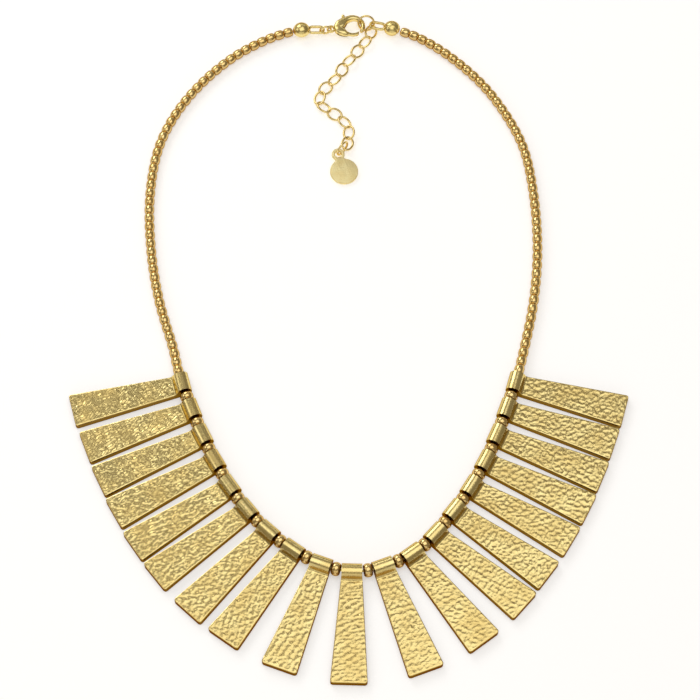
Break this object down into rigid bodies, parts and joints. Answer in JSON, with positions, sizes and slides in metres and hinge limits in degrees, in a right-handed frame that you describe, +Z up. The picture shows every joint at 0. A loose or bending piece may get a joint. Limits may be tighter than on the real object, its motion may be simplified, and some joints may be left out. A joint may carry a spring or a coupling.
{
  "type": "bib necklace",
  "caption": "Bib necklace of flat hammered gold-tone paddles on a wire, with two bead strings, a lobster clasp and an extension chain with a disc.",
  "frame": {"origin": "middle of the laid-out necklace's bounding box, on the surface that it lies on", "axes": "+X to the right with the bib towards the viewer, +Y towards the clasp, +Z up out of the surface"},
  "size_m": [0.1518, 0.2086, 0.0048],
  "materials": {
    "satin_gold": "satin, hammered front, light yellow gold tone",
    "bead_gold": "polished gold tone",
    "polished_gold": "polished gold tone",
    "matte_gold": "fine matte grain, gold tone",
    "wire": "drawn wire, gold tone"
  },
  "bodies": {
    "necklace": {"paddle_01": "satin_gold", "paddle_02": "satin_gold", "paddle_03": "satin_gold", "paddle_04": "satin_gold", "paddle_05": "satin_gold", "paddle_06": "satin_gold", "paddle_07": "satin_gold", "paddle_08": "satin_gold", "paddle_09": "satin_gold", "paddle_10": "satin_gold", "paddle_11": "satin_gold", "paddle_12": "satin_gold", "paddle_13": "satin_gold", "paddle_14": "satin_gold", "paddle_15": "satin_gold", "paddle_16": "satin_gold", "paddle_17": "satin_gold", "paddle_18": "satin_gold", "paddle_19": "satin_gold", "spacer_bead_01": "bead_gold", "spacer_bead_02": "bead_gold", "spacer_bead_03": "bead_gold", "spacer_bead_04": "bead_gold", "spacer_bead_05": "bead_gold", "spacer_bead_06": "bead_gold", "spacer_bead_07": "bead_gold", "spacer_bead_08": "bead_gold", "spacer_bead_09": "bead_gold", "spacer_bead_10": "bead_gold", "spacer_bead_11": "bead_gold", "spacer_bead_12": "bead_gold", "spacer_bead_13": "bead_gold", "spacer_bead_14": "bead_gold", "spacer_bead_15": "bead_gold", "spacer_bead_16": "bead_gold", "spacer_bead_17": "bead_gold", "spacer_bead_18": "bead_gold", "bead_string_left": "bead_gold", "bead_string_right": "bead_gold", "bib_wire": "wire", "bead_tip_left": "polished_gold", "bead_tip_right": "polished_gold", "clasp_ring": "polished_gold", "end_ring": "polished_gold", "charm_ring": "polished_gold", "clasp_body": "polished_gold", "extension_chain": "polished_gold", "charm_disc": "matte_gold"},
    "lever": {"clasp_lever": "polished_gold"}
  },
  "joints": [
    {"name": "clasp_lever_pivot", "type": "hinge", "parent": "necklace", "child": "lever", "pos_m": [-0.00148, 0.09834, 0.00205], "axis": [0, 0, 1], "range_deg": [0, 26], "stiffness_Nm_per_rad": 0.002, "springref_deg": -5.73}
  ]
}
